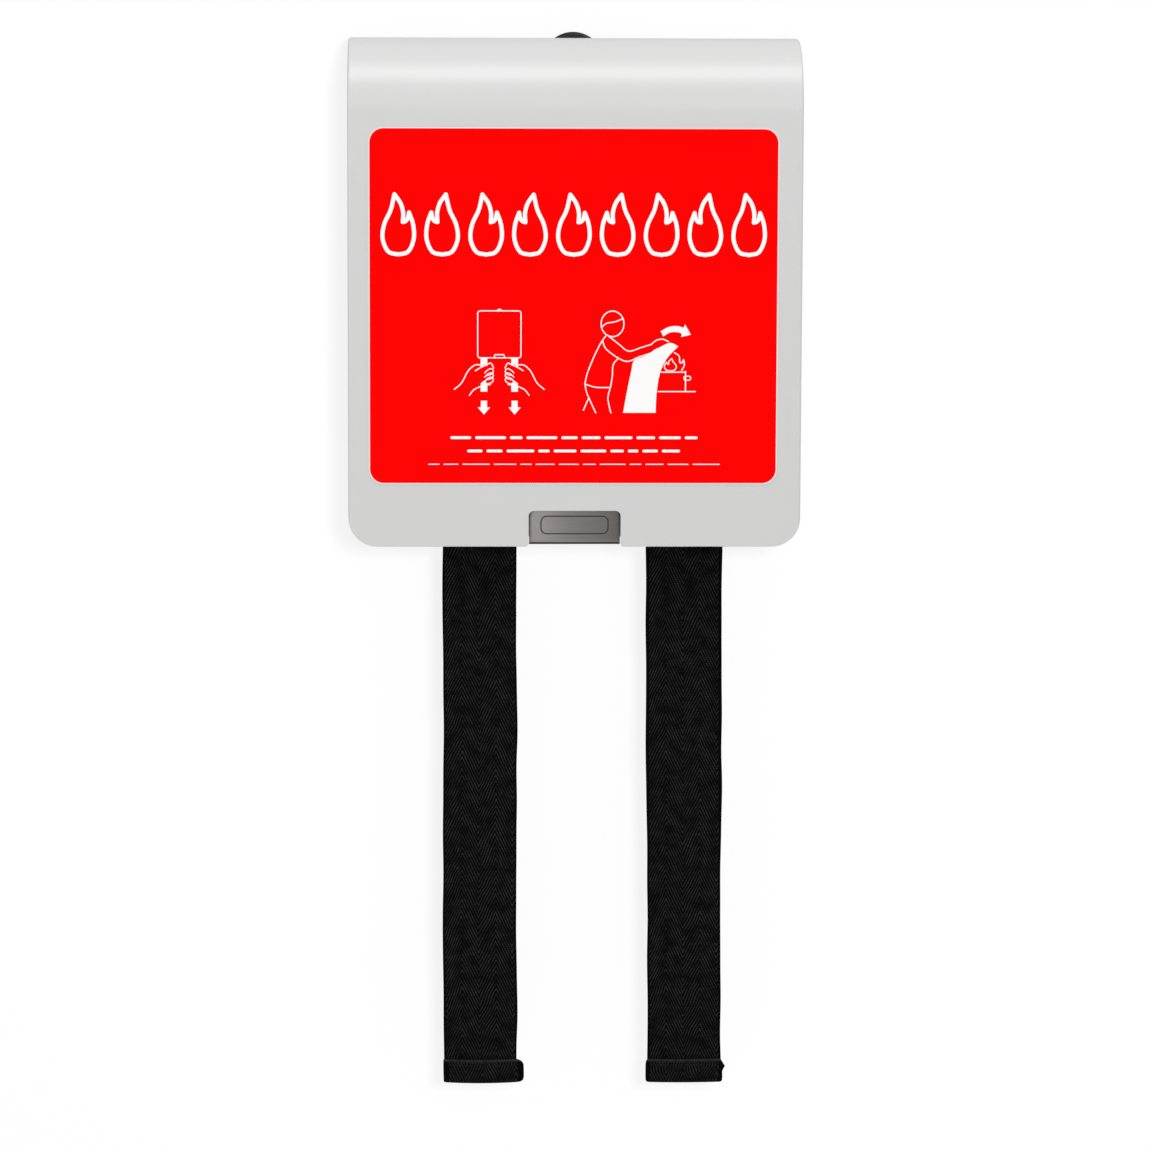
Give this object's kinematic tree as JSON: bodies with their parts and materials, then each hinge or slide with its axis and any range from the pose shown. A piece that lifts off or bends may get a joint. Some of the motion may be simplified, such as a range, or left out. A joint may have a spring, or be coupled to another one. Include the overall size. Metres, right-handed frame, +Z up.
{
  "type": "fire blanket",
  "caption": "Folded fire blanket in a wall-hung sheet steel case with a rolled top, a hinged front cover with a catch, and pull straps hanging from its open bottom",
  "frame": {"origin": "the middle of the back plate's rear face, where the case lies on the wall", "axes": "+Z up, -Y out of the wall towards the user (the front), +X to the user's right"},
  "size_m": [0.1704, 0.0402, 0.4016],
  "materials": {
    "white_paint": "satin",
    "black_paint": "satin",
    "zinc_steel": "satin",
    "grey_steel": "satin",
    "red_film": "satin",
    "glass_cloth": "matte",
    "black_tape": "matte"
  },
  "bodies": {
    "case": {"back_plate": "black_paint", "hanging_eyelet": "zinc_steel", "hinge_leaf_left": "zinc_steel", "hinge_leaf_right": "zinc_steel", "hinge_pin": "zinc_steel", "hinge_rivet_1": "zinc_steel", "hinge_rivet_2": "zinc_steel", "hinge_rivet_3": "zinc_steel", "hinge_rivet_4": "zinc_steel", "side_wall_left": "zinc_steel", "side_wall_right": "zinc_steel", "wall_rivet_1": "zinc_steel", "wall_rivet_2": "zinc_steel", "wall_rivet_3": "zinc_steel", "wall_rivet_4": "zinc_steel", "keeper_bar": "zinc_steel", "bar_rivet_left": "zinc_steel", "bar_rivet_right": "zinc_steel"},
    "cover": {"front_cover": "white_paint", "front_label": "red_film", "catch_bracket": "zinc_steel", "bracket_stud_left": "zinc_steel", "bracket_stud_right": "zinc_steel", "catch_pin": "zinc_steel", "catch_spring": "zinc_steel"},
    "catch": {"catch_tab": "grey_steel", "catch_hook": "zinc_steel"},
    "blanket": {"fire_blanket": "glass_cloth", "strap_left_sewn_end": "black_tape", "strap_right_sewn_end": "black_tape"},
    "strap_left_hanging": {"strap_left": "black_tape", "strap_left_hem": "black_tape"},
    "strap_right_hanging": {"strap_right": "black_tape", "strap_right_hem": "black_tape"}
  },
  "joints": [
    {"name": "cover_open", "type": "hinge", "parent": "case", "child": "cover", "pos_m": [0, -0.0043, 0.09245], "axis": [-1, 0, 0], "range_deg": [0, 80]},
    {"name": "catch_pull", "type": "hinge", "parent": "cover", "child": "catch", "pos_m": [0, -0.0364, -0.0818], "axis": [-1, 0, 0], "range_deg": [0, 20], "stiffness_Nm_per_rad": 0.05},
    {"name": "blanket_pull", "type": "slide", "parent": "case", "child": "blanket", "axis": [0, 0, -1], "range_m": [0, 0.17]},
    {"name": "strap_left_swing", "type": "hinge", "parent": "blanket", "child": "strap_left_hanging", "pos_m": [-0.0355, -0.029, -0.0966], "axis": [-1, 0, 0], "range_deg": [-5, 80]},
    {"name": "strap_right_swing", "type": "hinge", "parent": "blanket", "child": "strap_right_hanging", "pos_m": [0.0426, -0.029, -0.0966], "axis": [-1, 0, 0], "range_deg": [-5, 80]}
  ]
}
